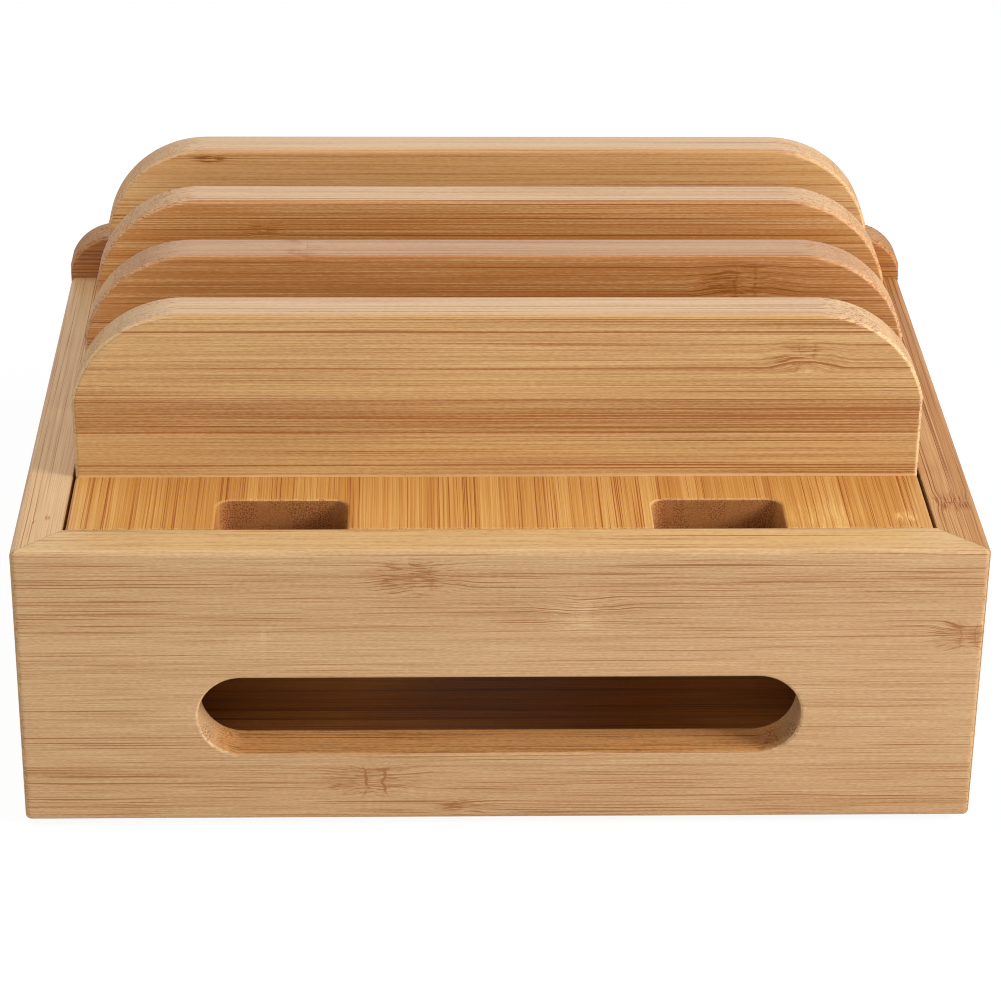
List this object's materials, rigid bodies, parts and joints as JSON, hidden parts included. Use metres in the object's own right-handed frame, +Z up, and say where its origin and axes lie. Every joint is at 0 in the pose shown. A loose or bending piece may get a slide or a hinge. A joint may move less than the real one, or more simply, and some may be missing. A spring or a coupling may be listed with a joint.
{
  "type": "charging station organizer",
  "caption": "Bamboo box that hides a power strip, with a round-ended cable slot in front and a lift-off top whose upright dividers hold phones and tablets.",
  "frame": {"origin": "bottom centre of the bounding box, on the surface that the feet stand on", "axes": "+Z up, +X to the right seen from the front, the slotted front faces -Y"},
  "size_m": [0.25, 0.19, 0.1288],
  "materials": {
    "bamboo_front": "satin",
    "bamboo_left": "satin",
    "bamboo_right": "satin",
    "bamboo_back": "satin",
    "bamboo_base": "satin",
    "bamboo_spline": "satin",
    "bamboo_ledge": "satin",
    "bamboo_deck": "satin",
    "bamboo_divider_1": "satin",
    "bamboo_divider_2": "satin",
    "bamboo_divider_3": "satin",
    "bamboo_divider_4": "satin",
    "beech_dowel": "satin",
    "zinc_steel": "satin",
    "rubber": "matte"
  },
  "bodies": {
    "box": {"front_panel": "bamboo_front", "left_side_panel": "bamboo_left", "right_side_panel": "bamboo_right", "back_panel": "bamboo_back", "base_panel": "bamboo_base", "left_mitre_spline": "bamboo_spline", "right_mitre_spline": "bamboo_spline", "back_dowels": "beech_dowel", "left_ledge": "bamboo_ledge", "right_ledge": "bamboo_ledge", "front_left_foot": "rubber", "front_right_foot": "rubber", "rear_left_foot": "rubber", "rear_right_foot": "rubber"},
    "top": {"deck": "bamboo_deck", "front_divider": "bamboo_divider_1", "second_divider": "bamboo_divider_2", "third_divider": "bamboo_divider_3", "rear_divider": "bamboo_divider_4", "divider_screws": "zinc_steel"}
  },
  "joints": [
    {"name": "lid_lift", "type": "slide", "parent": "box", "child": "top", "axis": [0, 0, 1], "range_m": [0, 0.04]}
  ]
}
